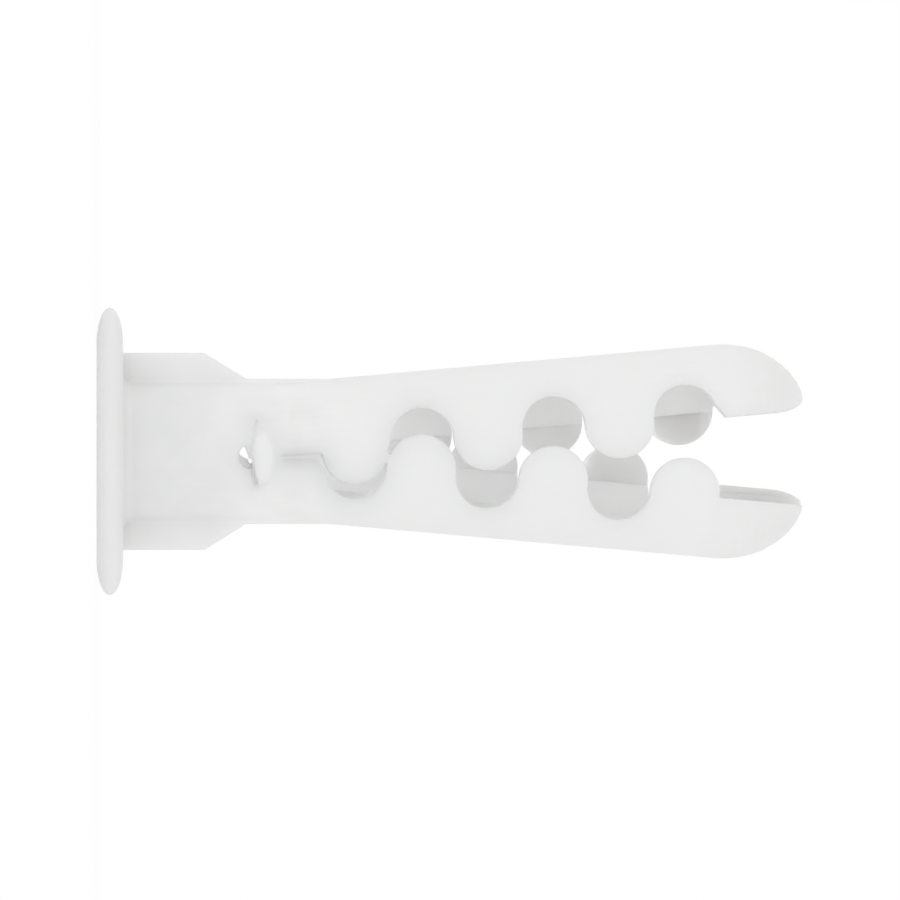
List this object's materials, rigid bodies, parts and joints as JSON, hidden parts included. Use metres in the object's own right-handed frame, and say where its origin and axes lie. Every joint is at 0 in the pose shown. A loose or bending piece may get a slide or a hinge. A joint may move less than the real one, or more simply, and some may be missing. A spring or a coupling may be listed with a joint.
{
  "type": "toothed wall plug",
  "caption": "Flanged plastic wall plug with a finned sleeve and two splayed jaws whose round teeth mesh as a screw draws them together or spreads them in a hole.",
  "frame": {"origin": "centre of the flange's outer face, which the plug stands on", "axes": "+Z along the plug towards the tips of the jaws; the jaws lean apart along -X and +X, and the fins stand out along -X and +X; -Y is the side that the picture shows"},
  "size_m": [0.0122, 0.0122, 0.03],
  "materials": {
    "milky_plastic": "milky, slightly see-through moulded polypropylene, satin outside and smoother on the inner faces"
  },
  "bodies": {
    "root": {"plug_body": "milky_plastic"}
  },
  "joints": []
}
